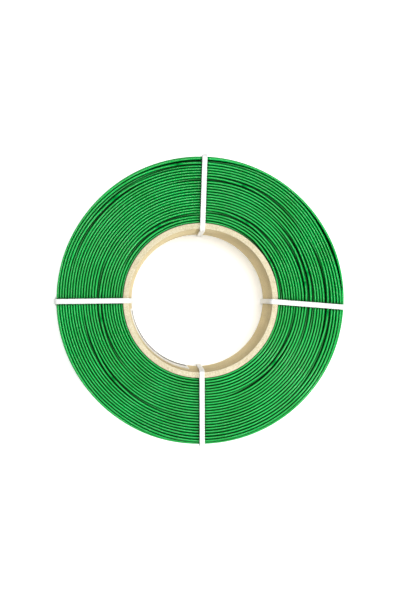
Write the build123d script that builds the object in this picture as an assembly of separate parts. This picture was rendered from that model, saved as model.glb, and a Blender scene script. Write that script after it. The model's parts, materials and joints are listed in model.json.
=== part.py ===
from build123d import *
import math
import os

# A spool-less filament refill: one strand wound on a cardboard core and held by four cable ties.
# Millimetres. +Z is the coil's axis, pointing up. The coil lies flat, and its ties rest on Z = 0.

os.makedirs("parts", exist_ok=True)

# Core tube and winding: the sizes that a refill is sold by.
BORE_DIAMETER = 100.0
CORE_WALL = 4.0
CORE_CHAMFER = 0.35
CORE_WIDTH = 46.0
WINDING_DIAMETER = 202.0
FILAMENT_DIAMETER = 1.75

# How the strand is laid.
LAYER_PITCH = 1.88
TURN_PITCH = 1.84
WINDING_SETBACK = 0.3
GROOVE_SHARE = 0.6

# Paper label on the wall of the bore, near its lower end.
LABEL_THICKNESS = 0.2
LABEL_HEIGHT = 27.0
LABEL_MARGIN = 1.5
LABEL_START = 187.0
LABEL_SWEEP = 75.0

# Cable ties. Each lies in an upright plane: the plane's bearing, and how far it passes from the axis.
TIE_PLANES = {"back": (88.1, 0.3), "right": (-4.5, 3.2), "front": (-89.8, 0.8), "left": (-179.3, -0.5)}
STRAP_WIDTH = 3.6
STRAP_THICKNESS = 1.2
STRAP_CLEARANCE = 0.4
STRAP_RIM_BEND = 1.9
STRAP_CORE_BEND = 1.2
STRAP_EDGE_RADIUS = 0.25

# Tie head, on the strap's run down the coil's outer wall, below the middle.
HEAD_DROP = 8.0
HEAD_WIDTH = 6.2
HEAD_LENGTH = 6.4
HEAD_HEIGHT = 4.4
HEAD_CORNER_RADIUS = 0.9
HEAD_EDGE_RADIUS = 0.4
UPPER_WALL = 1.4
SLOT_CLEARANCE = 0.15
TAIL_BEND = 1.0
TAIL_STUB = 0.7
TOOTH_PITCH = 0.9
TOOTH_DEPTH = 0.4
TOOTH_RAMP_SHARE = 0.8

# Locking pawl, hinged in the head below the tail. Its tooth points to the tail's free end.
PAWL_WIDTH = 3.0
PAWL_REACH = 2.0
PAWL_ARM_SHARE = 0.75
PAWL_DROP = 0.8
PAWL_BITE = 0.18
PAWL_THICKNESS = 0.55
KNUCKLE_RADIUS = 0.45
KNUCKLE_FIT = 0.06
PAWL_CLEARANCE = 0.15

# Sizes that follow from those above.
BORE_RADIUS = BORE_DIAMETER / 2
CORE_RADIUS = BORE_RADIUS + CORE_WALL
WINDING_RADIUS = WINDING_DIAMETER / 2
STRAND_RADIUS = FILAMENT_DIAMETER / 2
CORE_BOTTOM = STRAP_THICKNESS + STRAP_CLEARANCE
CORE_TOP = CORE_BOTTOM + CORE_WIDTH
MID_HEIGHT = (CORE_BOTTOM + CORE_TOP) / 2
COIL_HEIGHT = CORE_TOP + CORE_BOTTOM
WINDING_BOTTOM = CORE_BOTTOM + WINDING_SETBACK
WINDING_TOP = CORE_TOP - WINDING_SETBACK
HALF_STRAP = STRAP_THICKNESS / 2
HEAD_MIDDLE = MID_HEIGHT - HEAD_DROP
ROOT_HEIGHT = HEAD_MIDDLE - HEAD_LENGTH / 3
TAIL_HEIGHT = HEAD_MIDDLE + HEAD_LENGTH / 2 - UPPER_WALL - SLOT_CLEARANCE - HALF_STRAP
TAIL_FACE = TAIL_HEIGHT - HALF_STRAP
KNUCKLE_HEIGHT = TAIL_FACE - PAWL_DROP


def evenly(first, last, pitch):
    """Centres from first to last: as many as fit at this pitch, spread evenly."""
    gaps = math.floor((last - first) / pitch)
    return [first + (last - first) * i / gaps for i in range(gaps + 1)]


LAYER_RADII = evenly(CORE_RADIUS + STRAND_RADIUS, WINDING_RADIUS - STRAND_RADIUS, LAYER_PITCH)
TURN_HEIGHTS = evenly(WINDING_BOTTOM + STRAND_RADIUS, WINDING_TOP - STRAND_RADIUS, TURN_PITCH)


def core_tube():
    """The cardboard tube, with its cut edges slightly broken."""
    seated = (Align.CENTER, Align.CENTER, Align.MIN)
    tube = Cylinder(CORE_RADIUS, CORE_WIDTH, align=seated) - Cylinder(BORE_RADIUS, CORE_WIDTH, align=seated)
    tube = chamfer(tube.edges().filter_by(GeomType.CIRCLE), CORE_CHAMFER)
    return Pos(0, 0, CORE_BOTTOM) * tube


def winding_outline():
    """Half section of the whole winding in the XZ plane, with one round for every strand on its outside."""
    groove = GROOVE_SHARE * STRAND_RADIUS
    chord = math.sqrt(STRAND_RADIUS**2 - (STRAND_RADIUS - groove) ** 2)
    diagonal = STRAND_RADIUS * math.sqrt(0.5)
    last_radius = LAYER_RADII[-1]
    low, high = TURN_HEIGHTS[0], TURN_HEIGHTS[-1]
    wall = WINDING_RADIUS - groove
    top, bottom = WINDING_TOP, WINDING_BOTTOM
    rounds = []
    for r in LAYER_RADII[:-1]:
        rounds.append([(r - chord, top - groove), (r, top), (r + chord, top - groove)])
    corner = (last_radius + diagonal, high + diagonal)
    rounds.append([(last_radius - chord, top - groove), corner, (wall, high - chord)])
    for z in reversed(TURN_HEIGHTS[1:-1]):
        rounds.append([(wall, z + chord), (WINDING_RADIUS, z), (wall, z - chord)])
    corner = (last_radius + diagonal, low - diagonal)
    rounds.append([(wall, low + chord), corner, (last_radius - chord, bottom + groove)])
    for r in reversed(LAYER_RADII[:-1]):
        rounds.append([(r + chord, bottom + groove), (r, bottom), (r - chord, bottom + groove)])
    start, end = (CORE_RADIUS, top - groove), (CORE_RADIUS, bottom + groove)
    edges = [Line(start, rounds[0][0])]
    for this, following in zip(rounds, rounds[1:]):
        edges += [ThreePointArc(*this), Line(this[2], following[0])]
    edges += [ThreePointArc(*rounds[-1]), Line(rounds[-1][2], end), Line(end, start)]
    return make_face(Wire(edges))


def filament_winding():
    """The space that the wound strand fills, as one closed ring with grooved sides."""
    return revolve(Plane.XZ * winding_outline(), Axis.Z)


def core_label():
    """The paper label, stuck on the wall of the bore."""
    middle = CORE_BOTTOM + LABEL_MARGIN + LABEL_HEIGHT / 2
    section = Pos(BORE_RADIUS - LABEL_THICKNESS / 2, middle) * Rectangle(LABEL_THICKNESS, LABEL_HEIGHT)
    return Rot(0, 0, LABEL_START) * revolve(Plane.XZ * section, Axis.Z, LABEL_SWEEP)


def strap_faces(offset):
    """How far out the strap's coil-side faces lie in the tie's plane, in the bore and at the rim."""
    free_radius = BORE_RADIUS - LABEL_THICKNESS - STRAP_CLEARANCE
    bore_face = math.sqrt(free_radius**2 - (abs(offset) + STRAP_WIDTH / 2) ** 2)
    return bore_face, WINDING_RADIUS + STRAP_CLEARANCE


def strap_path(bore_face, rim_face):
    """Centre line of the strap, from the head round the winding and back through the head."""
    inner, outer = bore_face - HALF_STRAP, rim_face + HALF_STRAP
    low, high = HALF_STRAP, COIL_HEIGHT - HALF_STRAP
    tail_end = rim_face + HEAD_HEIGHT + TAIL_STUB
    points = [(outer, ROOT_HEIGHT), (outer, low), (inner, low), (inner, high)]
    points += [(outer, high), (outer, TAIL_HEIGHT), (tail_end, TAIL_HEIGHT)]
    bends = [STRAP_RIM_BEND, STRAP_CORE_BEND, STRAP_CORE_BEND, STRAP_RIM_BEND, TAIL_BEND]
    return FilletPolyline(*points, radius=[bend + HALF_STRAP for bend in bends])


def across(face, width):
    """A face drawn in the tie's plane, made a solid of this width about that plane."""
    return extrude(Plane.XZ * face, amount=width / 2, both=True)


def strap(path):
    """The strap as a flat band with its long edges rounded."""
    band = across(trace(path, line_width=STRAP_THICKNESS), STRAP_WIDTH)
    sides = band.faces().filter_by(Axis.Y)
    return fillet(sides.edges(), STRAP_EDGE_RADIUS)


def knuckle_place(rim_face):
    """Distance out of the pawl's hinge: beyond the strap's thickness, with room for its pocket."""
    return rim_face + STRAP_THICKNESS + KNUCKLE_RADIUS + KNUCKLE_FIT


def tail_notches(rim_face):
    """The gaps between the tail's teeth. The pawl's tooth sits in the middle one."""
    lock_face = knuckle_place(rim_face) + PAWL_REACH + PAWL_CLEARANCE
    notches = []
    for i in (-1, 0, 1):
        x = lock_face + i * TOOTH_PITCH
        ramp_end = (x - TOOTH_RAMP_SHARE * TOOTH_PITCH, TAIL_FACE)
        corners = Polyline((x, TAIL_FACE), ramp_end, (x, TAIL_FACE + TOOTH_DEPTH), close=True)
        notches.append(across(make_face(corners), PAWL_WIDTH + PAWL_CLEARANCE))
    return notches


def head_block(rim_face):
    """The head's outer shape."""
    outline = RectangleRounded(HEAD_LENGTH, HEAD_WIDTH, HEAD_CORNER_RADIUS)
    base = Plane(origin=(rim_face, 0, HEAD_MIDDLE), x_dir=(0, 0, 1), z_dir=(1, 0, 0))
    block = extrude(base * outline, amount=HEAD_HEIGHT)
    return fillet(block.faces().sort_by(Axis.X)[-1].edges(), HEAD_EDGE_RADIUS)


def pawl_room(rim_face):
    """The hollow below the tail that the pawl swings in, open at the head's free end."""
    x = knuckle_place(rim_face)
    pocket = KNUCKLE_RADIUS + KNUCKLE_FIT
    width = PAWL_WIDTH + 2 * PAWL_CLEARANCE
    seat = across(Pos(x, KNUCKLE_HEIGHT) * Circle(pocket), width)
    exit_face = rim_face + HEAD_HEIGHT
    corners = [(x - pocket, KNUCKLE_HEIGHT), (x - pocket, TAIL_FACE), (exit_face, TAIL_FACE)]
    corners += [(exit_face, KNUCKLE_HEIGHT - pocket), (x, KNUCKLE_HEIGHT - pocket), (x, KNUCKLE_HEIGHT)]
    return seat + across(make_face(Polyline(*corners, close=True)), width)


def tie(offset):
    """One tie in its own plane: head, strap, and the tail through the head's slot."""
    bore_face, rim_face = strap_faces(offset)
    path = strap_path(bore_face, rim_face)
    slot_width = STRAP_WIDTH + 2 * SLOT_CLEARANCE
    slot = across(trace(path, line_width=STRAP_THICKNESS + 2 * SLOT_CLEARANCE), slot_width)
    above_root = Pos(rim_face, 0, KNUCKLE_HEIGHT) * Box(
        4 * HEAD_HEIGHT, 2 * HEAD_WIDTH, 2 * HEAD_LENGTH, align=(Align.CENTER, Align.CENTER, Align.MIN)
    )
    head = head_block(rim_face) - (slot & above_root) - pawl_room(rim_face)
    band = strap(path)
    for notch in tail_notches(rim_face):
        band -= notch
    return head + band


def pawl(offset):
    """One pawl: a round knuckle and an arm with a tooth at its end."""
    x = knuckle_place(strap_faces(offset)[1])
    knuckle = across(Pos(x, KNUCKLE_HEIGHT) * Circle(KNUCKLE_RADIUS), PAWL_WIDTH)
    tip_height = PAWL_DROP + PAWL_BITE
    arm = [(0, KNUCKLE_RADIUS), (PAWL_ARM_SHARE * PAWL_REACH, PAWL_DROP - PAWL_CLEARANCE)]
    arm += [(PAWL_REACH, tip_height), (PAWL_REACH + PAWL_CLEARANCE / 2, tip_height - PAWL_THICKNESS)]
    arm += [(0, -KNUCKLE_RADIUS)]
    corners = [(x + along, KNUCKLE_HEIGHT + up) for along, up in arm]
    return knuckle + across(make_face(Polyline(*corners, close=True)), PAWL_WIDTH)


parts = {"core_tube": core_tube(), "filament_winding": filament_winding(), "core_label": core_label()}
for side, (bearing, offset) in TIE_PLANES.items():
    place = Rot(0, 0, bearing) * Pos(0, offset, 0)
    parts[f"tie_{side}"] = place * tie(offset)
    parts[f"pawl_{side}"] = place * pawl(offset)

for name, part in parts.items():
    export_step(part, f"parts/{name}.step")
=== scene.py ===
import json
import math

import bmesh
import bpy
import numpy as np
from mathutils import Matrix, Vector

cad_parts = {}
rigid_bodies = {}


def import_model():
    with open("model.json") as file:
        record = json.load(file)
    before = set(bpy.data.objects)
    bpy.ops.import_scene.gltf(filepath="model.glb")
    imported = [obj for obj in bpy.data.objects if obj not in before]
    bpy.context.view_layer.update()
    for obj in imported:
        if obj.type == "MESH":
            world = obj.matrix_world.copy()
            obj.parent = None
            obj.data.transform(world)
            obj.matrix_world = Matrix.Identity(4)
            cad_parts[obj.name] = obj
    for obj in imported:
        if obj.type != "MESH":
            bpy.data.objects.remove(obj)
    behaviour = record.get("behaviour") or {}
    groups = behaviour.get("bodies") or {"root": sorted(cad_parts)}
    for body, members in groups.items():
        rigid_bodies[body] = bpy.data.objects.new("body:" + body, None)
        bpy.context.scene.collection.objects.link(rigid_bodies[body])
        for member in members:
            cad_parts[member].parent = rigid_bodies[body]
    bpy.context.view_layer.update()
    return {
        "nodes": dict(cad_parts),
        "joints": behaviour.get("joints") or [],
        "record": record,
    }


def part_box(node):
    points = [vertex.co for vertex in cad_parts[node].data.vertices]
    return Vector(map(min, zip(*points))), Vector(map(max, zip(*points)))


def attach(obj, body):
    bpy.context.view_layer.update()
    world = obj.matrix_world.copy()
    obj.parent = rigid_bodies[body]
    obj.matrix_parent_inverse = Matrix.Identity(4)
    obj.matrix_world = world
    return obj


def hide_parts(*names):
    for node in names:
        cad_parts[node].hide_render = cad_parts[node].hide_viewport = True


# Looks of a spool-less filament refill: one green strand on a cardboard core, held by four cable ties.
# Metres and radians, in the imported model's frame: +Z is the coil's axis and the ties rest on Z = 0.

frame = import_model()
MM = 0.001
TURN = 2 * math.pi
noise = np.random.default_rng(7)

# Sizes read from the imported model.
CORE_LOW, CORE_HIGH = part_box("core_tube")
WINDING_LOW, WINDING_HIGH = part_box("filament_winding")
LABEL_LOW, LABEL_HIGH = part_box("core_label")
MOUNTS = {mount["name"]: mount for mount in frame["record"]["mounts"]}
BORE_RADIUS = MOUNTS["hub_seat"]["dims"]["r_mm"] * MM
CORE_RADIUS = CORE_HIGH.x
CORE_BOTTOM, CORE_TOP = CORE_LOW.z, CORE_HIGH.z
WINDING_RADIUS = WINDING_HIGH.x
WINDING_BOTTOM, WINDING_TOP = WINDING_LOW.z, WINDING_HIGH.z
COIL_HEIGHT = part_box("tie_left")[1].z
MID_HEIGHT = (CORE_BOTTOM + CORE_TOP) / 2

# The strand. A ring is the turn of a layer that shows on one of the coil's flat sides, its flanks.
STRAND_RADIUS = 0.875 * MM
LAYERS = 25
TURNS = 24
OUTER_TURNS = 23
INNER_END = math.radians(20)
OUTER_END = math.radians(5)

# The rim's rounding, which is wider over one stretch, where the outer rings are pushed outwards too.
SHOULDER = 1.3 * MM
WIDE_SHOULDER = 3.8 * MM
WIDE_FROM = math.radians(252)
WIDE_TO = math.radians(370)
RIM_PUSH = 1.3 * MM
RIM_PUSH_POWER = 4

# Rings on a flank: their spacing, how much a gap closes, and how a ring dips away beside its turnback.
# Turnbacks are given in degrees round the coil: chosen on the upper flank, random steps on the lower one.
SPACING = 1.895 * MM
GAP_CLOSING = 0.45 * MM
DIP_START = math.radians(5)
DIP_END = math.radians(50)
CLIMB = math.radians(20)
TOP_TURNBACKS = [30, 120, 60, 320, 190, 10, 15, 221, 70, 355, 130, 100]
BOTTOM_STEP_LEAST = 100
BOTTOM_STEP_MOST = 190

# How far the strand strays from true circles, as the strengths of one, two, three and more waves in a turn.
# The outer layer's wobble is slowed down by its pace, so it doesn't repeat with every turn.
DRIFT_WAVES = [0.16 * MM, 0.14 * MM, 0.1 * MM, 0.08 * MM]
DRIFT_LAYERS = 4
RING_WAVES = [0.02 * MM, 0.03 * MM, 0.035 * MM, 0.04 * MM, 0.035 * MM, 0.03 * MM, 0.02 * MM]
LEVEL_WAVES = [0.05 * MM, 0.05 * MM, 0.03 * MM, 0.02 * MM]
LEVEL_SINK = 0.16 * MM
WOBBLE_WAVES = [0.05 * MM, 0.04 * MM, 0.03 * MM]
WOBBLE_DEPTH = 0.12 * MM
WOBBLE_PACE = 0.37

# Random phases drawn at a time. A curve takes as many of them as it has waves.
LEVEL_DRAWS = 5
WOBBLE_DRAWS = 6

# How a ring's offset fades over the turns behind it: soon up to one layer, and slowly from a later one.
STRAIGHTENING = 0.8
STRAIGHT_UNTIL = 20
LOOSE_FROM = 23
FADING_TURNS = 3

# Turns from a flank until the strand climbs as an even helix.
EVEN_TURNS = 5

# Azimuths at which the rings are worked out, one for each half degree.
GRID_POINTS = 721

# The strand's meshes. The visible turns at both ends of a layer are finer than those hidden between them.
VISIBLE_TURNS = 2.3
OVERLAP = 0.05
FINE = 128
COARSE = 44
FLANK_SIDES = 8
OUTER_SIDES = 10
HIDDEN_SIDES = 4

# Margins and spans of one turn in the strand's bake map, as shares of its row.
U_MARGIN = 0.01
U_SPAN = 0.95
V_MARGIN = 0.05
V_SPAN = 0.9

# The cable ties' sizes, repeated from the part's source where the frame doesn't give them.
STRAP_WIDTH = 3.6 * MM
STRAP_THICKNESS = 1.2 * MM
STRAP_CLEARANCE = 0.4 * MM
LABEL_ROOM = 0.2 * MM
RIM_BEND = 1.9 * MM + STRAP_THICKNESS / 2
CORE_BEND = 1.2 * MM + STRAP_THICKNESS / 2
TAIL_BEND = 1.0 * MM + STRAP_THICKNESS / 2
TAIL_STUB = 0.7 * MM
TOOTH_PITCH = 0.9 * MM
TOOTH_DEPTH = 0.4 * MM
TOOTH_RAMP = 0.8
HEAD_WIDTH = 6.2 * MM
HEAD_LENGTH = 6.4 * MM
HEAD_HEIGHT = 4.4 * MM
HEAD_CORNER = 0.9 * MM
HEAD_EDGE = 0.4 * MM
SLOT_CLEARANCE = 0.15 * MM

# Places in a tie's head, worked out from the same source: the hinge, the tail and the pawl's pocket.
KNUCKLE_INSET = 1.71 * MM
KNUCKLE_DROP = 1.4 * MM
TAIL_RISE = 1.05 * MM
LOCK_REACH = 2.15 * MM
POCKET_WIDTH = 3.3 * MM
HINGE_ROOM = 0.51 * MM
HINGE_ROOM_SLOPE = 0.36 * MM

# What is drawn in this script's own way: rails on the strap's outside, soft corners on its inside, the width of
# its tooth gaps, the places along a tooth where a section is drawn, and the chamfer at the head's foot.
# The outlines are shares of half the strap's width and half its thickness.
RAIL_DEPTH = 0.13 * MM
RAIL_OUTLINE = ((-1.0, 0.45), (-0.94, 0.85), (-0.82, 1.0), (-0.66, 1.0))
RAIL_FOOT = -0.58
INNER_CORNER = ((1.0, -0.45), (0.98, -0.8), (0.94, -0.96), (0.9, -1.0))
NOTCH_SHARE = 0.875
TOOTH_STATIONS = (0.0, 0.4, TOOTH_RAMP, 0.985)
HEAD_FOOT = 0.1 * MM


# ---------------------------------------------------------------- small helpers

def smooth(t):
    """Zero to one with a soft start and end."""
    t = np.clip(t, 0.0, 1.0)
    return t * t * (3 - 2 * t)


def wave(angle, phases, amplitudes):
    """A smooth random closed curve round the coil: a few harmonics with given phases and strengths."""
    total = np.zeros_like(angle)
    for order, (phase, amplitude) in enumerate(zip(phases, amplitudes), start=1):
        total += amplitude * np.sin(order * angle + phase)
    return total


def linked(name, mesh, material, body):
    """Puts a finished mesh in the scene as a piece that rides on a body."""
    piece = bpy.data.objects.new(name, mesh)
    bpy.context.scene.collection.objects.link(piece)
    mesh.materials.append(material)
    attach(piece, body)
    return piece


def grid_mesh(name, points, closed_u=False, closed_v=False, cap=False):
    """A mesh of quads from an array of points [u, v, xyz]. The v direction goes round a section."""
    count_u, count_v = points.shape[:2]
    u = np.arange(count_u if closed_u else count_u - 1)
    v = np.arange(count_v if closed_v else count_v - 1)
    grid_u, grid_v = np.meshgrid(u, v, indexing="ij")
    next_u, next_v = (grid_u + 1) % count_u, (grid_v + 1) % count_v
    corners = [(grid_u, grid_v), (grid_u, next_v), (next_u, next_v), (next_u, grid_v)]
    quads = np.stack([a * count_v + b for a, b in corners], axis=-1).reshape(-1, 4)
    faces = quads.tolist()
    if cap:
        faces.append(list(range(count_v))[::-1])
        faces.append(list(range((count_u - 1) * count_v, count_u * count_v)))
    mesh = bpy.data.meshes.new(name)
    mesh.from_pydata(points.reshape(-1, 3).tolist(), [], faces)
    mesh.polygons.foreach_set("use_smooth", [True] * len(faces))
    outward = bmesh.new()
    outward.from_mesh(mesh)
    bmesh.ops.recalc_face_normals(outward, faces=outward.faces)
    outward.to_mesh(mesh)
    outward.free()
    mesh.update()
    return mesh


# ---------------------------------------------------------------- materials

OCCLUSION_SAMPLES = 6
LOW_GLINT = 0.2


class Look:
    """A short way to write a node material."""

    def __init__(self, name):
        self.material = bpy.data.materials.new(name)
        self.material.use_nodes = True
        self.tree = self.material.node_tree
        self.shader = self.tree.nodes["Principled BSDF"]

    def add(self, kind, **inputs):
        """A new node, with its inputs linked or set."""
        node = self.tree.nodes.new(kind)
        for key, value in inputs.items():
            socket = node.inputs[key.replace("_", " ")]
            if isinstance(value, bpy.types.NodeSocket):
                self.tree.links.new(value, socket)
            else:
                socket.default_value = value
        return node

    def place(self):
        """Where a point lies, in its object's own metres."""
        return self.add("ShaderNodeTexCoord").outputs["Object"]

    def noise(self, vector, scale, detail=3.0, roughness=0.55):
        settings = {"Scale": scale, "Detail": detail, "Roughness": roughness}
        return self.add("ShaderNodeTexNoise", Vector=vector, **settings).outputs["Fac"]

    def stretched(self, vector, scale):
        node = self.add("ShaderNodeMapping", Vector=vector)
        node.inputs["Scale"].default_value = scale
        return node.outputs["Vector"]

    def ramp(self, value, *stops):
        """A value turned into colours or greys, from (position, colour) stops."""
        node = self.tree.nodes.new("ShaderNodeValToRGB")
        self.tree.links.new(value, node.inputs["Fac"])
        band = node.color_ramp
        while len(band.elements) < len(stops):
            band.elements.new(0.5)
        for element, (position, colour) in zip(band.elements, stops):
            element.position = position
            element.color = (*colour, 1) if isinstance(colour, tuple) else (colour, colour, colour, 1)
        return node.outputs["Color"]

    def mix(self, share, a, b):
        """Two colours mixed: the first where the share is zero, the second where it is one."""
        node = self.tree.nodes.new("ShaderNodeMix")
        node.data_type = "RGBA"
        for socket, value in zip((node.inputs[0], node.inputs[6], node.inputs[7]), (share, a, b)):
            if isinstance(value, bpy.types.NodeSocket):
                self.tree.links.new(value, socket)
            else:
                socket.default_value = (*value, 1) if isinstance(value, tuple) else value
        return node.outputs[2]

    def openness(self, distance):
        """One on open surfaces, falling to zero deep in grooves; it masks painted shade."""
        node = self.add("ShaderNodeAmbientOcclusion", Distance=distance)
        node.samples = OCCLUSION_SAMPLES
        return node.outputs["AO"]

    def bump(self, height, strength, distance):
        node = self.add("ShaderNodeBump", Height=height, Strength=strength, Distance=distance)
        return node.outputs["Normal"]

    def set(self, **inputs):
        """Links or sets inputs of the material's shader."""
        for key, value in inputs.items():
            socket = self.shader.inputs[key.replace("_", " ")]
            if isinstance(value, bpy.types.NodeSocket):
                self.tree.links.new(value, socket)
            else:
                socket.default_value = value


def filament_material():
    """Glossy green extruded plastic, uneven in tone, with painted shade that turns it nearly black deep in the
    grooves between turns, where it is also dull.
    """
    look = Look("green_filament")
    place = look.place()
    slow = look.noise(place, scale=45.0)
    fine = look.noise(place, scale=900.0, detail=2.0)
    shade = look.ramp(slow, (0.3, (0.0, 0.37, 0.040)), (0.7, (0.0, 0.50, 0.076)))
    mottled = look.mix(0.12, shade, look.ramp(fine, (0.3, (0.0, 0.22, 0.03)), (0.7, (0.0, 0.52, 0.11))))
    # Painted shade: an occlusion mask turns the colour nearly black deep in the grooves between turns, and the
    # same mask makes the grooves rough.
    painted_shade_mask = look.ramp(look.openness(2.2 * MM), (0.54, 0.0), (0.99, 1.0))
    look.set(Base_Color=look.mix(painted_shade_mask, (0.0, 0.015, 0.0), mottled))
    gloss = look.mix(painted_shade_mask, (0.8, 0.8, 0.8), look.ramp(fine, (0.3, 0.17), (0.7, 0.26)))
    look.set(Roughness=gloss, Normal=look.bump(fine, strength=0.05, distance=0.05 * MM))
    look.shader.inputs["Specular IOR Level"].default_value = LOW_GLINT
    return look.material


def board_material(name, light, dark, speck):
    """Cardboard: clouded pulp with pale fibres, dark flecks and a soft tooth."""
    look = Look(name)
    place = look.place()
    cloud = look.noise(place, scale=60.0, detail=5.0)
    pulp = look.noise(look.stretched(place, (1.0, 1.0, 2.5)), scale=1400.0, detail=4.0, roughness=0.7)
    fleck = look.noise(place, scale=2600.0, detail=2.0)
    body = look.mix(look.ramp(cloud, (0.3, 0.0), (0.7, 1.0)), light, dark)
    fibres = look.mix(look.ramp(pulp, (0.42, 0.0), (0.62, 0.75)), body, speck)
    look.set(Base_Color=look.mix(look.ramp(fleck, (0.66, 0.0), (0.74, 0.5)), fibres, (0.12, 0.08, 0.04)))
    look.set(Roughness=0.92, Normal=look.bump(pulp, strength=0.5, distance=0.12 * MM))
    look.shader.inputs["Specular IOR Level"].default_value = LOW_GLINT
    return look.material


def paper_material():
    """Smooth white label paper with a faint mottle."""
    look = Look("label_paper")
    place = look.place()
    mottle = look.noise(place, scale=500.0, detail=4.0)
    look.set(Base_Color=look.ramp(mottle, (0.3, (0.86, 0.85, 0.80)), (0.7, (0.91, 0.90, 0.86))))
    look.set(Roughness=look.ramp(mottle, (0.3, 0.45), (0.7, 0.6)))
    look.set(Normal=look.bump(mottle, strength=0.15, distance=0.05 * MM))
    return look.material


def black_bar_material():
    """Matt black bars."""
    look = Look("label_ink")
    place = look.place()
    unevenness = look.noise(place, scale=1500.0, detail=3.0)
    look.set(Base_Color=look.ramp(unevenness, (0.3, (0.012, 0.012, 0.014)), (0.75, (0.05, 0.05, 0.055))))
    look.set(Roughness=look.ramp(unevenness, (0.3, 0.4), (0.7, 0.6)))
    look.set(Normal=look.bump(unevenness, strength=0.1, distance=0.04 * MM))
    return look.material


def nylon_material():
    """Natural white nylon: satin, a little translucent, with faint flow marks."""
    look = Look("white_nylon")
    place = look.place()
    cloud = look.noise(place, scale=180.0)
    grain = look.noise(place, scale=3500.0, detail=2.0)
    look.set(Base_Color=look.ramp(cloud, (0.3, (0.80, 0.81, 0.79)), (0.7, (0.88, 0.89, 0.88))))
    look.set(Roughness=look.ramp(grain, (0.3, 0.3), (0.7, 0.46)))
    look.set(Normal=look.bump(grain, strength=0.12, distance=0.04 * MM))
    look.set(Subsurface_Weight=0.3, Subsurface_Scale=1.2 * MM)
    look.shader.inputs["Subsurface Radius"].default_value = (1.0, 1.0, 0.9)
    return look.material


GREEN = filament_material()
KRAFT = board_material("kraft_wall", (0.74, 0.62, 0.37), (0.62, 0.51, 0.28), (0.86, 0.76, 0.51))
CUT_BOARD = board_material("cut_board", (0.68, 0.60, 0.39), (0.54, 0.46, 0.27), (0.86, 0.79, 0.62))
PAPER = paper_material()
BLACK_BARS = black_bar_material()
NYLON = nylon_material()


# ---------------------------------------------------------------- the winding

CENTRE_BOTTOM = WINDING_BOTTOM + STRAND_RADIUS
CENTRE_TOP = WINDING_TOP - STRAND_RADIUS
FIRST_RING = CORE_RADIUS + STRAND_RADIUS
LAST_RING = WINDING_RADIUS - STRAND_RADIUS
LAYER_STEP = (LAST_RING - FIRST_RING) / (LAYERS - 1)


def wide_share(angle):
    """One along the part of the rim whose shoulder is worn wide and round, and zero elsewhere."""
    middle, half = (WIDE_FROM + WIDE_TO) / 2, (WIDE_TO - WIDE_FROM) / 2
    away = np.abs((angle - middle + math.pi) % TURN - math.pi)
    return smooth((half + CLIMB - away) / (2 * CLIMB))


def shoulder(angle):
    """Radius of the rim's rounding, followed by the strand centres."""
    return SHOULDER + (WIDE_SHOULDER - SHOULDER) * wide_share(angle)


def flat_width(angle):
    """Width of the flat side, between the first ring and the start of the rim's rounding."""
    return LAST_RING - FIRST_RING - shoulder(angle)


class Flank:
    """How the strand turns back from layer to layer on one flat side of the coil."""

    def __init__(self, first_layer, turnbacks):
        self.first = first_layer
        self.turnbacks = [math.radians(a) for a in turnbacks]
        self.phases = noise.uniform(0, TURN, (LAYERS + 1, len(RING_WAVES)))
        self.levels = noise.uniform(0, TURN, (LAYERS + 1, LEVEL_DRAWS))

    def turnback(self, layer):
        """The turnback a layer takes part in: its azimuth, and whether the strand arrives or leaves by it."""
        pair = (layer - self.first) // 2
        if layer < self.first or pair >= len(self.turnbacks):
            return None, False
        return self.turnbacks[pair], (layer - self.first) % 2 == 0

    def absence(self, layer, angle):
        """One where a layer's ring has dipped out of the flank, beside its turnback, and zero elsewhere."""
        at, arrives = self.turnback(layer)
        if at is None:
            return np.zeros_like(angle)
        away = (angle - at + math.pi) % TURN - math.pi
        if not arrives:
            away = -away
        fade = 1 - smooth((away - DIP_START) / (DIP_END - DIP_START))
        return fade * smooth((away + CLIMB) / (2 * CLIMB))

    def along(self, layer, angle):
        """Distance of a ring from the first one, measured over the flat side and its rounded shoulder."""
        total = wave(angle, self.phases[LAYERS], DRIFT_WAVES) * min(1.0, layer / DRIFT_LAYERS)
        total += RIM_PUSH * wide_share(angle) * (layer / (LAYERS - 2)) ** RIM_PUSH_POWER
        before = self.absence(0, angle)
        for ring in range(1, layer + 1):
            here = self.absence(ring, angle)
            total += SPACING - GAP_CLOSING / 2 * (before + here)
            total += wave(angle, self.phases[ring], RING_WAVES)
            before = here
        return total

    def height_change(self, layer, angle):
        """How far a ring lies below the flank's highest level."""
        return LEVEL_SINK + wave(angle, self.levels[layer], LEVEL_WAVES)


TOP = Flank(0, TOP_TURNBACKS)
BOTTOM_TURNBACKS = np.cumsum(noise.uniform(BOTTOM_STEP_LEAST, BOTTOM_STEP_MOST, len(TOP_TURNBACKS)))
BOTTOM = Flank(1, BOTTOM_TURNBACKS)
WOBBLE = noise.uniform(0, TURN, WOBBLE_DRAWS)


def over_shoulder(along, angle):
    """Radius and drop below the flank for a distance measured over the flat side and the shoulder."""
    flat, rounding = flat_width(angle), shoulder(angle)
    bend = np.clip((along - flat) / rounding, 0, math.pi / 2)
    radius = FIRST_RING + np.minimum(along, flat) + rounding * np.sin(bend)
    past = np.maximum(along - flat - rounding * math.pi / 2, 0)
    return radius, rounding * (1 - np.cos(bend)) + past


def ring_places(angle):
    """Where each layer's ring lies on the upper and the lower flank, for azimuths on a closed grid."""
    rows = []
    for layer in range(LAYERS - 1):
        top_r, top_drop = over_shoulder(TOP.along(layer, angle), angle)
        bottom_r, bottom_drop = over_shoulder(BOTTOM.along(layer, angle), angle)
        top_z = CENTRE_TOP - top_drop - TOP.height_change(layer, angle)
        bottom_z = CENTRE_BOTTOM + bottom_drop + BOTTOM.height_change(layer, angle)
        rows.append((top_r, top_z, bottom_r, bottom_z))
    return np.array(rows)


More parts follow.
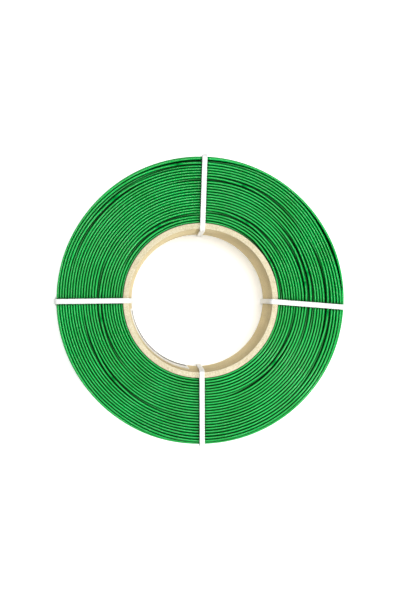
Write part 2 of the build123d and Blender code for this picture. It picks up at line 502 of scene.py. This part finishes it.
GRID = np.linspace(0, TURN, GRID_POINTS)
PLACES = ring_places(GRID)
WALL_TOP = TOP.along(LAYERS - 2, GRID) + SPACING
WALL_BOTTOM = BOTTOM.along(LAYERS - 2, GRID) + SPACING
ROUND_TRIP = 2 * flat_width(GRID) + (math.pi - 2) * shoulder(GRID) + CENTRE_TOP - CENTRE_BOTTOM


def on_grid(values, angle):
    """A closed curve's value at any azimuth."""
    return np.interp(np.mod(angle, TURN), GRID, values)


def lean(layer, turns_away):
    """Share of a ring's offset from the layer's own radius that is left some turns away from the ring."""
    straighten = STRAIGHTENING * (1 - smooth((layer - STRAIGHT_UNTIL) / (LOOSE_FROM - STRAIGHT_UNTIL)))
    return (1 - straighten * smooth(turns_away)) * (1 - smooth((turns_away - 1) / FADING_TURNS))


def inner_place(layer, level, angle):
    """A point of a layer below the last, where level runs from 0 on the lower flank to 1 on the upper one."""
    top_r, top_z, bottom_r, bottom_z = (on_grid(curve, angle) for curve in PLACES[layer])
    nominal = FIRST_RING + layer * LAYER_STEP
    lean_top = lean(layer, (1 - level) * (TURNS - 1))
    lean_bottom = lean(layer, level * (TURNS - 1))
    radius = nominal + (top_r - nominal) * lean_top + (bottom_r - nominal) * lean_bottom
    return radius, bottom_z + (top_z - bottom_z) * level


def outer_place(level, angle, wobble):
    """A point of the last layer, which goes over both shoulders and down the coil's outer wall."""
    high = on_grid(WALL_TOP, angle)
    whole = on_grid(ROUND_TRIP, angle)
    low = whole - on_grid(WALL_BOTTOM, angle)
    along = low + (high - low) * level
    upper = along < whole / 2
    radius, drop = over_shoulder(np.where(upper, along, whole - along), angle)
    z = np.where(upper, CENTRE_TOP - drop, CENTRE_BOTTOM + drop)
    bulge = wobble * np.sin(math.pi * level)
    return radius - bulge, z


def strand_layer(layer):
    """How a layer's strand runs: whether upward, its first azimuth, its sweep and its steps' middles."""
    upward = layer % 2 == 0
    count = TURNS if layer < LAYERS - 1 else OUTER_TURNS
    low_at, _ = BOTTOM.turnback(layer)
    high_at, _ = TOP.turnback(layer)
    low_at = INNER_END if low_at is None else low_at
    high_at = OUTER_END if high_at is None else high_at
    start, end = (low_at, high_at) if upward else (high_at, low_at)
    fraction = (end - start + math.pi) % TURN - math.pi
    total = count * TURN + fraction
    middle_dip = (DIP_START + DIP_END) / 2
    first_step, last_step = TURN - middle_dip, total - TURN + middle_dip
    centres = np.linspace(first_step, last_step, count - 1)
    return upward, start, total, centres


def level_along(swept, centres):
    """The strand's level after sweeping an angle: flat turns near the flanks, an even helix between them."""
    steps = len(centres)
    level = np.zeros_like(swept)
    for index, centre in enumerate(centres):
        nearest = min(index, steps - 1 - index)
        share = smooth(nearest / EVEN_TURNS)
        width = (DIP_END - DIP_START) * (1 - share) + TURN * share
        t = (swept - centre) / width + 0.5
        level += smooth(t) * (1 - share) + np.clip(t, 0, 1) * share
    return level / steps


def strand_points(layer, low_turn, high_turn, segments):
    """Points of one layer's strand between two of its turns.

    Turns count from the layer's start, or from its end below zero. A high turn of zero is the layer's end.
    """
    upward, start, total, centres = strand_layer(layer)
    begin = low_turn * TURN if low_turn >= 0 else total + low_turn * TURN
    finish = high_turn * TURN if high_turn > 0 else total + high_turn * TURN
    count = max(2, int(round((finish - begin) / TURN * segments)) + 1)
    swept = np.linspace(begin, finish, count)
    progress = level_along(swept, centres)
    level = progress if upward else 1 - progress
    angle = start + swept
    if layer == LAYERS - 1:
        wobble = WOBBLE_DEPTH + wave(swept * WOBBLE_PACE, WOBBLE, WOBBLE_WAVES)
        radius, z = outer_place(level, angle, wobble)
    else:
        radius, z = inner_place(layer, level, angle)
    return angle, radius, z, swept, total


def with_climb(layer, angle, radius, z, swept, total):
    """Bends the strand's ends halfway over to the neighbouring layer's ring at each turnback."""
    for flank, side in enumerate((BOTTOM, TOP)):
        at, arrives = side.turnback(layer)
        if at is None or layer == LAYERS - 1 and arrives:
            continue
        other = layer + 1 if arrives else layer - 1
        away = total - swept if arrives else swept
        share = 0.5 * (1 - smooth(away / CLIMB))
        if not np.any(share):
            continue
        level = np.full_like(angle, float(flank))
        if other == LAYERS - 1:
            other_r, other_z = outer_place(level, angle, 0.0)
        else:
            other_r, other_z = inner_place(other, level, angle)
        radius = radius + (other_r - radius) * share
        z = z + (other_z - z) * share
    return radius, z


def tube_rings(angle, radius, z, around):
    """Rings of points round one run of the strand, each square to the strand's direction."""
    centre = np.stack([radius * np.cos(angle), radius * np.sin(angle), z], axis=1)
    ahead = np.gradient(centre, axis=0)
    ahead /= np.linalg.norm(ahead, axis=1)[:, None]
    outward = np.stack([np.cos(angle), np.sin(angle), np.zeros_like(angle)], axis=1)
    upward = np.cross(ahead, outward)
    upward /= np.linalg.norm(upward, axis=1)[:, None]
    outward = np.cross(upward, ahead)
    cosines, sines = np.cos(around)[None, :, None], np.sin(around)[None, :, None]
    ring = outward[:, None] * cosines + upward[:, None] * sines
    return centre[:, None] + STRAND_RADIUS * ring


def tube_uvs(turns, sides, first_row, rows):
    """UV corners of each quad of a run: the map has a row for each turn, with a margin round it."""
    turn_row = np.minimum(np.floor(turns[:-1]), np.floor(turns[-1]))
    u0, u1 = (U_MARGIN + U_SPAN * (share - turn_row) for share in (turns[:-1], turns[1:]))
    u0, u1 = (np.repeat(u[:, None], sides, axis=1) for u in (u0, u1))
    v0 = (first_row + turn_row)[:, None] + V_SPAN * np.arange(sides)[None] / sides + V_MARGIN
    v1 = v0 + V_SPAN / sides
    corners = [(u0, v0), (u0, v1), (u1, v1), (u1, v0)]
    return np.stack([np.stack([u, v / rows], axis=-1) for u, v in corners], axis=2).reshape(-1, 2)


def tube(name, runs, sides):
    """One mesh of round tubes along several runs of (angle, radius, z) points, with flat ends."""
    around = np.linspace(0, TURN, sides, endpoint=False)
    rows = int(sum((angle[-1] - angle[0]) / TURN + 1 for angle, _, _ in runs)) + 1
    verts, faces, uvs, caps = [], [], [], []
    offset, row = 0, 0
    for angle, radius, z in runs:
        count = len(angle)
        verts.append(tube_rings(angle, radius, z, around).reshape(-1, 3))
        step, side = np.meshgrid(np.arange(count - 1), np.arange(sides), indexing="ij")
        here, ahead, beside = step * sides, (step + 1) * sides, (side + 1) % sides
        quads = np.stack([here + side, here + beside, ahead + beside, ahead + side], axis=-1)
        faces.append(quads.reshape(-1, 4) + offset)
        turns = (angle - angle[0]) / TURN
        uvs.append(tube_uvs(turns, sides, row, rows))
        last = offset + (count - 1) * sides
        caps += [list(range(offset, offset + sides))[::-1], list(range(last, last + sides))]
        row += int(np.floor(turns[-1])) + 1
        offset += count * sides
    cap_uvs = np.full((len(caps) * sides, 2), 0.5 / rows)
    mesh = bpy.data.meshes.new(name)
    mesh.from_pydata(np.concatenate(verts).tolist(), [], np.concatenate(faces).tolist() + caps)
    mesh.polygons.foreach_set("use_smooth", [True] * len(mesh.polygons))
    bake_map = mesh.uv_layers.new(name="OFBake")
    bake_map.data.foreach_set("uv", np.concatenate(uvs + [cap_uvs]).ravel())
    mesh.update()
    return mesh


def run_of(layer, low_turn, high_turn, segments):
    """A run of the strand as azimuths, radii and heights, bent over at the turnbacks that it reaches."""
    angle, radius, z, swept, total = strand_points(layer, low_turn, high_turn, segments)
    radius, z = with_climb(layer, angle, radius, z, swept, total)
    return angle, radius, z


def build_winding():
    """The strand, as four meshes: both flanks, the outer layer, and the turns hidden inside."""
    top_runs, bottom_runs, inner_runs = [], [], []
    for layer in range(LAYERS - 1):
        upward = layer % 2 == 0
        first = run_of(layer, 0, VISIBLE_TURNS, FINE)
        last = run_of(layer, -VISIBLE_TURNS, 0, FINE)
        (bottom_runs if upward else top_runs).append(first)
        (top_runs if upward else bottom_runs).append(last)
        inner_runs.append(run_of(layer, VISIBLE_TURNS - OVERLAP, OVERLAP - VISIBLE_TURNS, COARSE))
    outer_runs = [run_of(LAYERS - 1, 0, 0, FINE)]
    pieces = [
        ("filament_upper_turns", top_runs, FLANK_SIDES),
        ("filament_lower_turns", bottom_runs, FLANK_SIDES),
        ("filament_outer_layer", outer_runs, OUTER_SIDES),
        ("filament_inner_turns", inner_runs, HIDDEN_SIDES),
    ]
    for name, runs, sides in pieces:
        piece = linked(name, tube(name, runs, sides), GREEN, "coil")
        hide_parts("filament_winding")


build_winding()


# ---------------------------------------------------------------- core tube and label

EDGE_ROUND = 0.35 * MM
FIRST_BEND = 0.15 * math.pi / 2
BORE_ROWS = 70
EDGE_ROWS = 5
END_ROWS = 14
CORE_SEGMENTS = 720
BORE_ROUGHNESS = 0.012 * MM
END_ROUGHNESS = 0.035 * MM

# The seam: the edge of the innermost ply, which stands up by a step and fades away behind it.
SEAM_LEAD = 82.0 * MM
SEAM_START = math.radians(55)
SEAM_STEP = 0.16 * MM
SEAM_RISE = 0.5 * MM
SEAM_FADE = 4 * MM


def core_profile():
    """Half section of the tube wall: up the bore, over the top end, down the outside, under the lower end."""
    inmost, outmost = BORE_RADIUS + EDGE_ROUND, CORE_RADIUS - EDGE_ROUND
    lowest, highest = CORE_BOTTOM + EDGE_ROUND, CORE_TOP - EDGE_ROUND
    points = [(BORE_RADIUS, z, "bore") for z in np.linspace(lowest, highest, BORE_ROWS)]
    for bend in np.linspace(FIRST_BEND, math.pi / 2, EDGE_ROWS):
        radius = BORE_RADIUS + EDGE_ROUND * (1 - math.cos(bend))
        points.append((radius, CORE_TOP - EDGE_ROUND * (1 - math.sin(bend)), "end"))
    points += [(r, CORE_TOP, "end") for r in np.linspace(inmost, outmost, END_ROWS)[1:]]
    points += [(CORE_RADIUS, highest, "outside"), (CORE_RADIUS, lowest, "outside")]
    points += [(r, CORE_BOTTOM, "end") for r in np.linspace(outmost, inmost, END_ROWS)]
    return points


def build_core():
    """The spirally wound tube, with the raised edge of its innermost ply and slightly uneven cut ends."""
    profile = core_profile()
    angle = np.linspace(0, TURN, CORE_SEGMENTS, endpoint=False)
    rough = noise.normal(0, 1, (len(angle), len(profile)))
    rough = (rough + np.roll(rough, 1, 0) + np.roll(rough, -1, 0)) / 3
    lines = []
    for row, (r, z, part) in enumerate(profile):
        radius, height = np.full_like(angle, r), np.full_like(angle, z)
        if part == "bore":
            lead = (angle - SEAM_START) / TURN * SEAM_LEAD + (CORE_TOP - z)
            past = np.mod(lead, SEAM_LEAD)
            radius -= SEAM_STEP * np.exp(-past / SEAM_FADE) * smooth(past / SEAM_RISE)
            radius += BORE_ROUGHNESS * rough[:, row]
        elif part == "end":
            sign = 1 if z > MID_HEIGHT else -1
            height -= sign * END_ROUGHNESS * np.abs(rough[:, row])
        lines.append(np.stack([radius * np.cos(angle), radius * np.sin(angle), height], axis=1))
    points = np.stack(lines, axis=1)
    mesh = grid_mesh("cardboard_tube", points, closed_u=True, closed_v=True)
    tube_piece = linked("cardboard_tube", mesh, KRAFT, "coil")
    mesh.materials.append(CUT_BOARD)
    parts = [part for _, _, part in profile]
    rows = [int(parts[v] == "end" or parts[(v + 1) % len(parts)] == "end") for v in range(len(parts))]
    mesh.polygons.foreach_set("material_index", rows * len(angle))
    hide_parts("core_tube")


# The label. Its place is repeated from the part's source. The bars are shares of its height.
LABEL_FROM = math.radians(187)
LABEL_SWEEP = math.radians(75)
LABEL_THICKNESS = 0.16 * MM
LABEL_GAP = 0.008 * MM
LABEL_COLUMNS = 150
LABEL_ROWS = 80
LABEL_SLANT = math.radians(1.2)
SLANT_FROM = 0.6
RIPPLE_DEPTH = 0.02 * MM
RIPPLES = 4.5
LABEL_BARS = ((0.0, 0.42), (0.955, 0.99))
BAR_MARGIN = 0.015


def label_surface(radius, angle, z):
    """Points of one side of the label."""
    return np.stack([radius * np.cos(angle), radius * np.sin(angle), z], axis=-1)


def build_label():
    """The paper label on the wall of the bore, with a wide black band low down and a thin one along the top."""
    shares, heights = np.linspace(0, 1, LABEL_COLUMNS), np.linspace(0, 1, LABEL_ROWS)
    share, height = np.meshgrid(shares, heights, indexing="ij")
    slant = LABEL_SLANT * (height - 1) * smooth((share - SLANT_FROM) / (1 - SLANT_FROM))
    angle = LABEL_FROM + LABEL_SWEEP * share + slant
    z = LABEL_LOW.z + (LABEL_HIGH.z - LABEL_LOW.z) * height
    ripple = RIPPLE_DEPTH * (1 + np.sin(RIPPLES * TURN * share) * np.cos(TURN * height)) / 2
    back = BORE_RADIUS - LABEL_GAP - ripple
    front_side = label_surface(back - LABEL_THICKNESS, angle, z)
    back_side = label_surface(back, angle, z)
    ring = np.concatenate([front_side, back_side[:, ::-1]], axis=1)
    mesh = grid_mesh("paper_label", ring, closed_v=True, cap=True)
    label = linked("paper_label", mesh, PAPER, "coil")
    mesh.materials.append(BLACK_BARS)
    centre = (np.arange(2 * LABEL_ROWS) + 0.5) / (LABEL_ROWS - 1)
    row_barred = [int(any(low <= c <= high for low, high in LABEL_BARS)) for c in centre]
    margin = (LABEL_COLUMNS - 1) * BAR_MARGIN
    index = []
    for column in range(LABEL_COLUMNS - 1):
        inside = margin < column < LABEL_COLUMNS - 1 - margin
        index += [row if inside else 0 for row in row_barred]
    mesh.polygons.foreach_set("material_index", index + [0, 0])
    mesh.set_sharp_from_angle(angle=math.radians(40))
    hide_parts("core_label")


build_core()
build_label()


# ---------------------------------------------------------------- cable ties

# A path's heading is taken a nudge to either side. A hair keeps a tooth's first mark from counting as its last.
BEND_POINTS = 60
NUDGE = 0.05 * MM
HAIR = 1e-9


def rounded_path(corners, bends):
    """A fine polyline through corners in a tie's plane, with each inner corner rounded by its bend radius."""
    points = [corners[0]]
    for before, corner, after, bend in zip(corners, corners[1:], corners[2:], bends):
        before, corner, after = (np.array(p) for p in (before, corner, after))
        arrive = (corner - before) / np.linalg.norm(corner - before)
        leave = (after - corner) / np.linalg.norm(after - corner)
        centre = corner - arrive * bend + leave * bend
        for turn in np.linspace(0, math.pi / 2, BEND_POINTS):
            points.append(centre - leave * bend * math.cos(turn) + arrive * bend * math.sin(turn))
    points.append(corners[-1])
    points = np.array(points)
    lengths = np.concatenate([[0], np.cumsum(np.linalg.norm(np.diff(points, axis=0), axis=1))])
    return points, lengths


def path_at(path, distance):
    """Points and headings of a path at given distances along it."""
    points, lengths = path
    here, ahead, behind = (
        np.stack([np.interp(distance + shift, lengths, points[:, i]) for i in range(2)], axis=1)
        for shift in (0.0, NUDGE, -NUDGE)
    )
    heading = ahead - behind
    return here, heading / np.linalg.norm(heading, axis=1)[:, None]


def swept_rings(here, heading, outlines):
    """One (across, outward) outline at each point of a path in a tie's plane, square to the path."""
    rings = []
    for point, ahead, outline in zip(here, heading, outlines):
        away = (-ahead[1], ahead[0])
        rings.append([(point[0] + away[0] * b, a, point[1] + away[1] * b) for a, b in outline])
    return np.array(rings)


def placed(local, bearing, offset):
    """Points drawn in a tie's own plane (x out, y across, z up), moved to the tie's place."""
    x, y, z = local[..., 0], local[..., 1] + offset, local[..., 2]
    cos, sin = math.cos(bearing), math.sin(bearing)
    return np.stack([x * cos - y * sin, x * sin + y * cos, z], axis=-1)


def strap_section(gap):
    """The strap's outline (across, outward): rails outside, and a tooth gap of this depth inside."""
    half, thick = STRAP_WIDTH / 2, STRAP_THICKNESS / 2
    web = thick - RAIL_DEPTH
    outer = [(a * half, b * thick) for a, b in RAIL_OUTLINE] + [(RAIL_FOOT * half, web), (0, web)]
    outer += [(-a, b) for a, b in reversed(outer[:-1])]
    corner = [(a * half, b * thick) for a, b in INNER_CORNER]
    notch = [(a * half, gap - thick) for a in (NOTCH_SHARE, 0, -NOTCH_SHARE)]
    return outer + corner + notch + [(-a, b) for a, b in reversed(corner)]


def build_strap(side, bearing, offset, path, lock_distance):
    """The strap: a band with rails and teeth along its path. Distances count from the tail's cut end."""
    total = path[1][-1]
    first_tooth = lock_distance % TOOTH_PITCH
    teeth = np.arange(first_tooth, total, TOOTH_PITCH)
    marks = np.concatenate([teeth + share * TOOTH_PITCH for share in TOOTH_STATIONS])
    marks = np.sort(np.concatenate([[0.0, total], marks[(marks > 0) & (marks < total)]]))
    share = np.mod(marks - first_tooth + HAIR, TOOTH_PITCH) / TOOTH_PITCH
    depth = TOOTH_DEPTH * np.clip(1 - share / TOOTH_RAMP, 0, 1)
    depth[0] = 0.0
    rings = swept_rings(*path_at(path, total - marks), [strap_section(gap) for gap in depth])
    mesh = grid_mesh(f"strap_{side}", placed(rings, bearing, offset), closed_v=True, cap=True)
    mesh.set_sharp_from_angle(angle=math.radians(35))
    strap = linked(f"strap_{side}", mesh, NYLON, f"tie_{side}")
    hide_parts(f"tie_{side}")


# The edge's bends are the angles, in radians, between which the head's outer rounding is drawn.
CORNER_POINTS = 7
EDGE_BENDS = (0.3, 1.57)
EDGE_STATIONS = 5
SLOT_POINTS = 60
SLOT_OVERRUN = 2 * MM


def rounded_outline(length, width, radius, inset):
    """A rectangle with rounded corners, drawn in by an inset: points of (across, along)."""
    reach = radius - inset
    points = []
    for quarter, (sign_a, sign_b) in enumerate(((1, 1), (-1, 1), (-1, -1), (1, -1))):
        centre_a, centre_b = sign_a * (width / 2 - radius), sign_b * (length / 2 - radius)
        for turn in np.linspace(0, math.pi / 2, CORNER_POINTS):
            angle = quarter * math.pi / 2 + turn
            points.append((centre_a + reach * math.cos(angle), centre_b + reach * math.sin(angle)))
    return points


def head_block(rim_face, middle):
    """Rings of the head's block, from its face on the rim to its rounded outer edge."""
    stations = [(0.0, HEAD_FOOT), (HEAD_FOOT, 0.0), (HEAD_HEIGHT - HEAD_EDGE, 0.0)]
    for bend in np.linspace(*EDGE_BENDS, EDGE_STATIONS):
        inset = HEAD_EDGE * (1 - math.cos(bend))
        stations.append((HEAD_HEIGHT - HEAD_EDGE * (1 - math.sin(bend)), inset))
    rings = []
    for depth, inset in stations:
        outline = rounded_outline(HEAD_LENGTH, HEAD_WIDTH, HEAD_CORNER, inset)
        rings.append([(rim_face + depth, a, middle + b) for a, b in outline])
    return np.array(rings)


def slot_room(path):
    """The space cut for the tail: the strap's section with clearance, along the path's end and beyond."""
    half, thick = STRAP_WIDTH / 2 + SLOT_CLEARANCE, STRAP_THICKNESS / 2 + SLOT_CLEARANCE
    corners = ((-half, thick), (half, thick), (half, -thick), (-half, -thick))
    total = path[1][-1]
    distances = np.linspace(total - HEAD_LENGTH - HEAD_HEIGHT, total - 2 * NUDGE, SLOT_POINTS)
    here, heading = path_at(path, distances)
    here = np.concatenate([here, [here[-1] + heading[-1] * SLOT_OVERRUN]])
    heading = np.concatenate([heading, heading[-1:]])
    return swept_rings(here, heading, [corners] * len(here))


def pocket_room(rim_face, middle):
    """The space cut for the pawl, from the room round its hinge out through the head's outer face."""
    top = middle + TAIL_RISE
    hinge_x, hinge_z = rim_face + KNUCKLE_INSET, top - KNUCKLE_DROP
    free_end = rim_face + HEAD_HEIGHT + MM
    outline = [(hinge_x - HINGE_ROOM, hinge_z), (hinge_x - HINGE_ROOM, top), (free_end, top)]
    outline += [(free_end, hinge_z - HINGE_ROOM), (hinge_x, hinge_z - HINGE_ROOM)]
    outline += [(hinge_x - HINGE_ROOM_SLOPE, hinge_z - HINGE_ROOM_SLOPE)]
    return np.array([[(x, y, z) for x, z in outline] for y in (-POCKET_WIDTH / 2, POCKET_WIDTH / 2)])


def cutter(name, local, bearing, offset):
    """A closed mesh used only to cut another."""
    mesh = grid_mesh(name, placed(local, bearing, offset), closed_v=True, cap=True)
    thing = bpy.data.objects.new(name, mesh)
    bpy.context.scene.collection.objects.link(thing)
    return thing


def build_head(side, bearing, offset, rim_face, middle, path):
    """The tie's head: a rounded block with a slot for the strap and the pawl's pocket below it."""
    block = placed(head_block(rim_face, middle), bearing, offset)
    mesh = grid_mesh(f"head_{side}", block, closed_v=True, cap=True)
    head = linked(f"head_{side}", mesh, NYLON, f"tie_{side}")
    cutters = [cutter("slot_cutter", slot_room(path), bearing, offset)]
    cutters.append(cutter("pocket_cutter", pocket_room(rim_face, middle), bearing, offset))
    for thing in cutters:
        modifier = head.modifiers.new(thing.name, "BOOLEAN")
        modifier.operation = "DIFFERENCE"
        modifier.solver = "EXACT"
        modifier.object = thing
    cut = bpy.data.meshes.new_from_object(head.evaluated_get(bpy.context.evaluated_depsgraph_get()))
    head.modifiers.clear()
    head.data = cut
    cut.set_sharp_from_angle(angle=math.radians(32))
    for thing in cutters:
        bpy.data.objects.remove(thing)
    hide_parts(f"tie_{side}")


def build_tie(joint):
    """One tie: its bearing comes from the axis of its pawl's hinge, and its head's place from the hinge."""
    side = joint["parent"].removeprefix("tie_")
    axis_x, axis_y, _ = joint["axis"]
    hinge_x, hinge_y, hinge_z = joint["pos_m"]
    bearing = math.atan2(-axis_x, axis_y)
    cos, sin = math.cos(bearing), math.sin(bearing)
    offset = hinge_y * cos - hinge_x * sin
    rim_face = hinge_x * cos + hinge_y * sin - KNUCKLE_INSET
    free_radius = BORE_RADIUS - LABEL_ROOM - STRAP_CLEARANCE
    bore_face = math.sqrt(free_radius**2 - (abs(offset) + STRAP_WIDTH / 2) ** 2)
    half = STRAP_THICKNESS / 2
    inner, outer = bore_face - half, rim_face + half
    low, high = half, COIL_HEIGHT - half
    tail_height = hinge_z + KNUCKLE_DROP
    middle = tail_height - TAIL_RISE
    tail_end = rim_face + HEAD_HEIGHT + TAIL_STUB
    root = middle - HEAD_LENGTH / 3
    corners = [(outer, root), (outer, low), (inner, low), (inner, high)]
    corners += [(outer, high), (outer, tail_height), (tail_end, tail_height)]
    path = rounded_path(corners, [RIM_BEND, CORE_BEND, CORE_BEND, RIM_BEND, TAIL_BEND])
    lock_distance = tail_end - rim_face - KNUCKLE_INSET - LOCK_REACH
    build_strap(side, bearing, offset, path, lock_distance)
    build_head(side, bearing, offset, rim_face, middle, path)
    pawl = frame["nodes"][f"pawl_{side}"]
    pawl.data.materials.clear()
    pawl.data.materials.append(NYLON)


for joint in frame["joints"]:
    if joint["child"].startswith("pawl_"):
        build_tie(joint)


# ---------------------------------------------------------------- camera, floor and light

def look_at(thing, target):
    """Turns a camera or lamp to a target, with its own up as near to the frame's +Y as it can be."""
    up = Vector((0, 1, 0))
    ahead = (target - thing.location).normalized()
    right = ahead.cross(up).normalized()
    turned = Matrix((right, right.cross(ahead), -ahead)).transposed()
    thing.rotation_mode = "QUATERNION"
    thing.rotation_quaternion = turned.to_quaternion()


# Chosen by comparing renders with the photo. The height is measured from the core's upper end.
CAMERA_HEIGHT = 0.484
CAMERA_ASIDE = Vector((-0.0273, 0.002, 0.0))
SENSOR_WIDTH = 36.0
LENS = 41.62


def add_camera():
    """A camera looking straight down from beside the axis, with its lens shifted to centre the coil."""
    camera = bpy.data.objects.new("camera", bpy.data.cameras.new("camera"))
    bpy.context.scene.collection.objects.link(camera)
    camera.location = (CAMERA_ASIDE.x, CAMERA_ASIDE.y, CORE_TOP + CAMERA_HEIGHT)
    look_at(camera, Vector((CAMERA_ASIDE.x, CAMERA_ASIDE.y, CORE_TOP)))
    camera.data.sensor_width = SENSOR_WIDTH
    camera.data.lens = LENS
    shift = -CAMERA_ASIDE / CAMERA_HEIGHT * LENS / SENSOR_WIDTH
    camera.data.shift_x, camera.data.shift_y = shift.x, shift.y
    bpy.context.scene.camera = camera


add_camera()


FLOOR_HALF = 3.0
BORE_GLOW = 0.2
FLOOR_GLOW = 0.45
LIGHT_TARGET = Vector((0, 0, 30 * MM))
WORLD_STRENGTH = 0.14


def floor_sheet():
    """A large white sheet under the coil, with a faint tooth and a glow that is weaker inside the bore."""
    look = Look("white_floor")
    tooth = look.noise(look.place(), scale=400.0)
    look.set(Base_Color=look.ramp(tooth, (0.3, (0.93, 0.93, 0.93)), (0.7, (0.95, 0.95, 0.95))), Roughness=0.7)
    reach = look.add("ShaderNodeVectorMath", Vector=look.place())
    reach.operation = "LENGTH"
    glow = look.ramp(reach.outputs["Value"], (BORE_RADIUS, BORE_GLOW), (CORE_RADIUS, FLOOR_GLOW))
    look.set(Emission_Color=glow, Emission_Strength=1.0)
    corners = [(x * FLOOR_HALF, y * FLOOR_HALF, 0) for x, y in ((-1, -1), (1, -1), (1, 1), (-1, 1))]
    mesh = bpy.data.meshes.new("floor")
    mesh.from_pydata(corners, [], [(0, 1, 2, 3)])
    mesh.materials.append(look.material)
    floor = bpy.data.objects.new("floor", mesh)
    bpy.context.scene.collection.objects.link(floor)


def area_light(name, place, size, power):
    """A round lamp turned to the coil."""
    lamp = bpy.data.lights.new(name, "AREA")
    lamp.shape = "DISK"
    lamp.size = size
    lamp.energy = power
    thing = bpy.data.objects.new(name, lamp)
    bpy.context.scene.collection.objects.link(thing)
    thing.location = place
    look_at(thing, LIGHT_TARGET)


def studio_world():
    """An even, weak white light from all round."""
    world = bpy.data.worlds.new("studio")
    bpy.context.scene.world = world
    world.use_nodes = True
    background = world.node_tree.nodes["Background"]
    background.inputs["Color"].default_value = (1, 1, 1, 1)
    background.inputs["Strength"].default_value = WORLD_STRENGTH


floor_sheet()
area_light("overhead_light", place=(0.12, 0.1, 1.4), size=0.55, power=17.2)
area_light("key_light", place=(0.85, -0.6, 0.5), size=0.3, power=8.0)
studio_world()
bpy.context.scene.view_settings.view_transform = "Standard"
